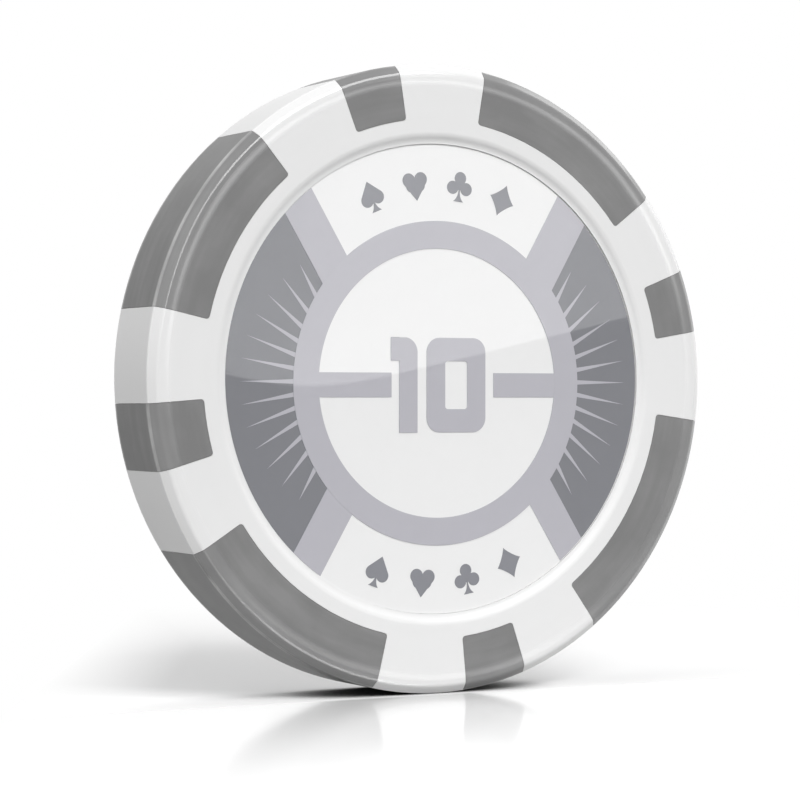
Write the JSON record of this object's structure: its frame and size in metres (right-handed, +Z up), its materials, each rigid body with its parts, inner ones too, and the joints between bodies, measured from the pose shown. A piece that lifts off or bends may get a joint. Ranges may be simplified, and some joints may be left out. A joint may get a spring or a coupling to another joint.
{
  "type": "poker chip",
  "caption": "Round casino chip standing on its edge: white body with grey edge spots, bevelled rim, steel weight inside and a sunken printed label under clear film on each face.",
  "frame": {"origin": "the lowest point of the wall, midway between the two faces, where the chip stands on its edge", "axes": "+Z up, +Y from the front face to the rear face along the chip's axis, +X to the right seen from the front"},
  "size_m": [0.04, 0.0062, 0.04],
  "materials": {
    "white_plastic": "moulded, softly glossy",
    "grey_plastic": "moulded, softly glossy, faint flow marks",
    "steel": "stamped, bare",
    "label_stock": "printed label stock",
    "clear_film": "clear, glossy"
  },
  "bodies": {
    "root": {"chip_body": "white_plastic", "weight": "steel", "long_spot_1": "grey_plastic", "long_spot_2": "grey_plastic", "long_spot_3": "grey_plastic", "long_spot_4": "grey_plastic", "short_spot_1": "grey_plastic", "short_spot_2": "grey_plastic", "short_spot_3": "grey_plastic", "short_spot_4": "grey_plastic", "label_front": "label_stock", "label_rear": "label_stock", "film_front": "clear_film", "film_rear": "clear_film"}
  },
  "joints": []
}
